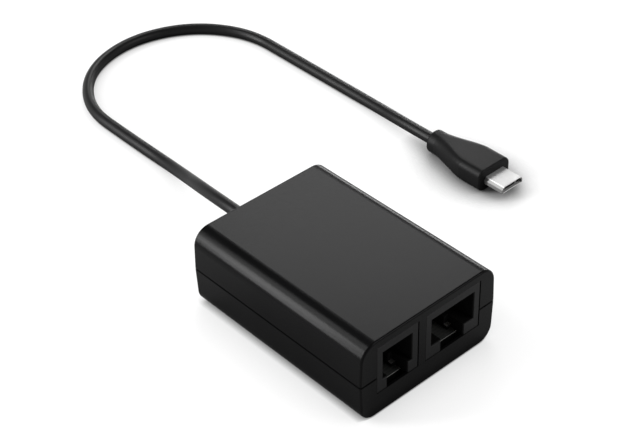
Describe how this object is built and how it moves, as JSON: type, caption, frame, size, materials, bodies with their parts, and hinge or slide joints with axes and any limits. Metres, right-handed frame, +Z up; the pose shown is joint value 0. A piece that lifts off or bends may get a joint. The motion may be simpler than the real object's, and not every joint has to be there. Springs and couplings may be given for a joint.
{
  "type": "wired headset adapter box",
  "caption": "Small black adapter box with a narrow and a wide modular jack side by side in front and a captive cord from the rear that ends in a micro-USB plug.",
  "frame": {"origin": "middle of the box's underside, on the table; the free cord and its plug are not counted", "axes": "-Y out of the two jacks, +Y towards the cord's exit, -X towards the narrow jack, +X towards the wide jack, +Z up"},
  "size_m": [0.0812, 0.1441, 0.0192],
  "materials": {
    "case_plastic": "fine matt moulded texture, black",
    "jack_plastic": "smooth moulded black",
    "board_laminate": "black solder mask over glass-epoxy laminate",
    "contact_gold": "gold-plated wire",
    "chip_resin": "black moulded resin",
    "ceramic": "fired ceramic, tan",
    "lid_metal": "plated lid",
    "can_aluminium": "bright drawn can",
    "ferrite": "dark grey ferrite",
    "header_plastic": "natural white nylon",
    "pin_tin": "tin-plated",
    "screw_steel": "black oxide",
    "wire_insulation": "coloured insulation",
    "cord_jacket": "soft matt jacket, black",
    "shell_steel": "nickel-plated stamped sheet"
  },
  "bodies": {
    "adapter": {"top_cover": "case_plastic", "bottom_cover": "case_plastic", "case_screws": "screw_steel", "main_board": "board_laminate", "rj9_jack_housing": "jack_plastic", "rj9_contact_leads": "contact_gold", "rj45_jack_housing": "jack_plastic", "rj45_contact_leads": "contact_gold", "control_chip": "chip_resin", "memory_chip": "chip_resin", "crystal": "lid_metal", "voltage_regulator": "chip_resin", "bulk_capacitors": "can_aluminium", "ferrite_choke": "ferrite", "chip_capacitors": "ceramic", "chip_resistors": "chip_resin", "cord_header": "header_plastic", "cord_header_pins": "pin_tin", "wire_plug": "header_plastic", "cord_leads": "wire_insulation", "strain_relief": "cord_jacket", "cord_inner_end": "cord_jacket", "usb_cord": "cord_jacket", "plug_overmould": "cord_jacket", "plug_shell": "shell_steel", "plug_insulator": "jack_plastic", "plug_contacts": "contact_gold"},
    "rj45_spring_set": {"rj45_contact_springs": "contact_gold"},
    "rj9_spring_set": {"rj9_contact_springs": "contact_gold"},
    "latch_set": {"plug_latches": "shell_steel"}
  },
  "joints": [
    {"name": "rj45_contact_flex", "type": "hinge", "parent": "adapter", "child": "rj45_spring_set", "pos_m": [0.00664, -0.02235, 0.0161], "axis": [1, 0, 0], "range_deg": [0, 12], "stiffness_Nm_per_rad": 0.22},
    {"name": "rj9_contact_flex", "type": "hinge", "parent": "adapter", "child": "rj9_spring_set", "pos_m": [-0.00869, -0.02235, 0.0161], "axis": [1, 0, 0], "range_deg": [0, 12], "stiffness_Nm_per_rad": 0.11},
    {"name": "plug_latch_flex", "type": "hinge", "parent": "adapter", "child": "latch_set", "pos_m": [0.05735, 0.0118, 0.00247], "axis": [-1, 0, 0], "range_deg": [0, 3.8], "stiffness_Nm_per_rad": 0.15}
  ]
}
